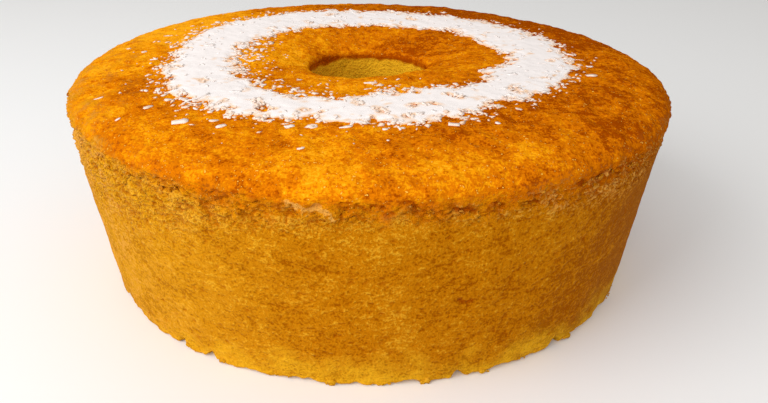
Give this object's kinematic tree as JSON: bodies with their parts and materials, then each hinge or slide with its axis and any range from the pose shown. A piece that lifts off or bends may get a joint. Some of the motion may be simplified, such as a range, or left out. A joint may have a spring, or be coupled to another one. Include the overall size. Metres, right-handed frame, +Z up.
{
  "type": "coconut ring cake",
  "caption": "Round cake baked in a ring tin, with tapered sides, a low browned crown, a hole through the middle and a ring of shredded coconut on top.",
  "frame": {"origin": "on the axis of the hole, at the plane of the flat base", "axes": "+Z up along the axis of the hole, -Y towards the side that the picture shows, +X to that side's right"},
  "size_m": [0.241, 0.2398, 0.0861],
  "materials": {
    "crust": "golden baked crumb, finely pitted, matt at the side and faintly glossy on the browned crown",
    "coconut": "dry white shredded coconut, matt"
  },
  "bodies": {
    "root": {"cake": "crust"}
  },
  "joints": []
}
